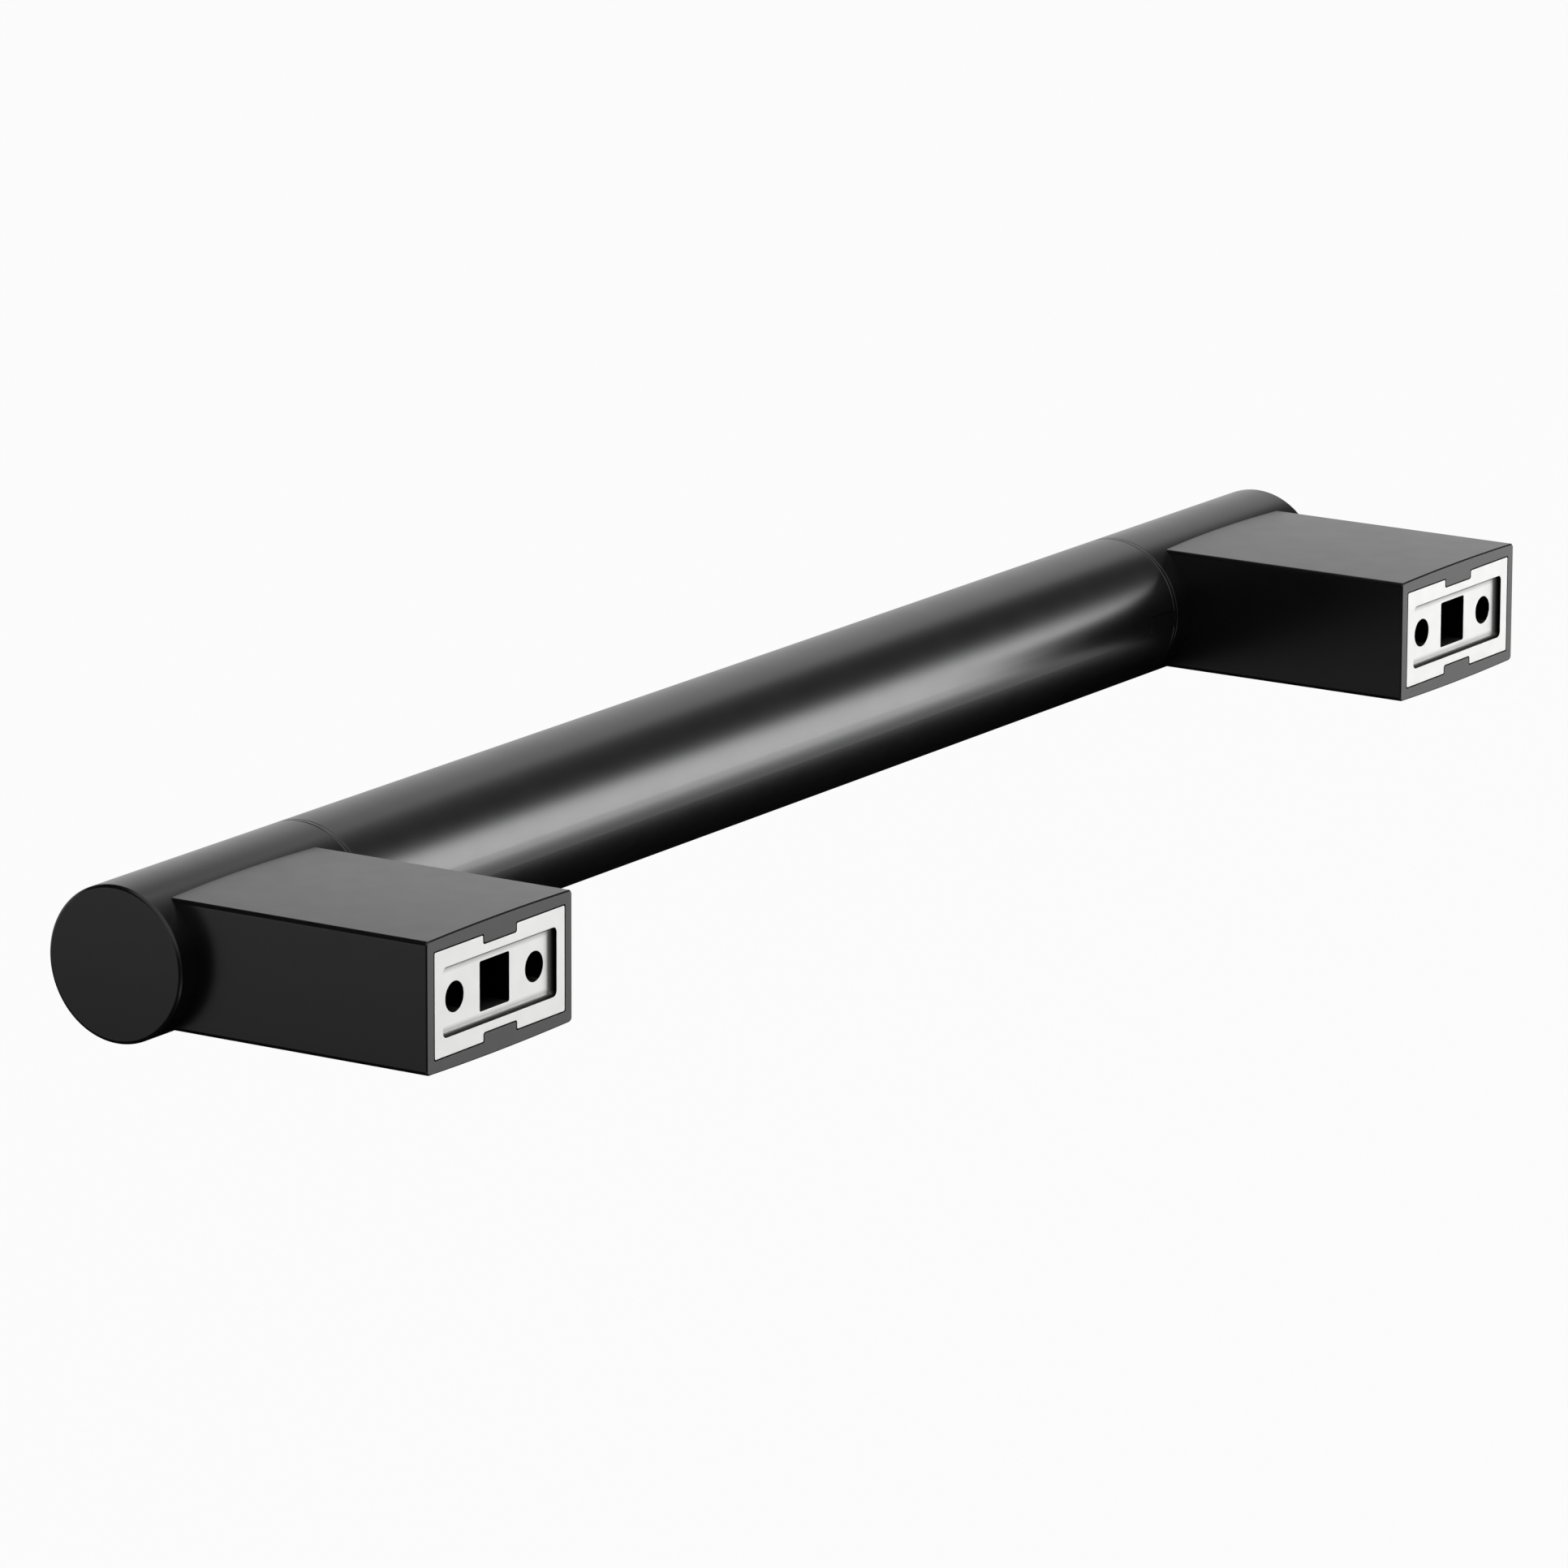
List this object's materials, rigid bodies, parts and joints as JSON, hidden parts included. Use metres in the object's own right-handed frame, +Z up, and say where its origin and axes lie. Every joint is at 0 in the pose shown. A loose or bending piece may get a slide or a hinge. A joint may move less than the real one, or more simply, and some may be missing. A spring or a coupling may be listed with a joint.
{
  "type": "grab bar",
  "caption": "Straight wall grab bar: a round tube between closed end barrels, each on a hollow box post with a screwed wall plate.",
  "frame": {"origin": "on the wall plane, midway between the two posts and level with the bar's axis", "axes": "+Y into the wall, +Z up, X along the bar; the room is on the -Y side"},
  "size_m": [0.45, 0.0885, 0.033],
  "materials": {
    "black_coat": "satin black coating",
    "connector_metal": "satin black anodised",
    "plate_metal": "bright satin",
    "screw_steel": "dark plain steel"
  },
  "bodies": {
    "root": {"grip_tube": "black_coat", "left_bracket": "black_coat", "left_connector": "connector_metal", "left_wall_plate": "plate_metal", "left_connector_screw": "screw_steel", "left_locking_screw": "screw_steel", "right_bracket": "black_coat", "right_connector": "connector_metal", "right_wall_plate": "plate_metal", "right_connector_screw": "screw_steel", "right_locking_screw": "screw_steel"}
  },
  "joints": []
}
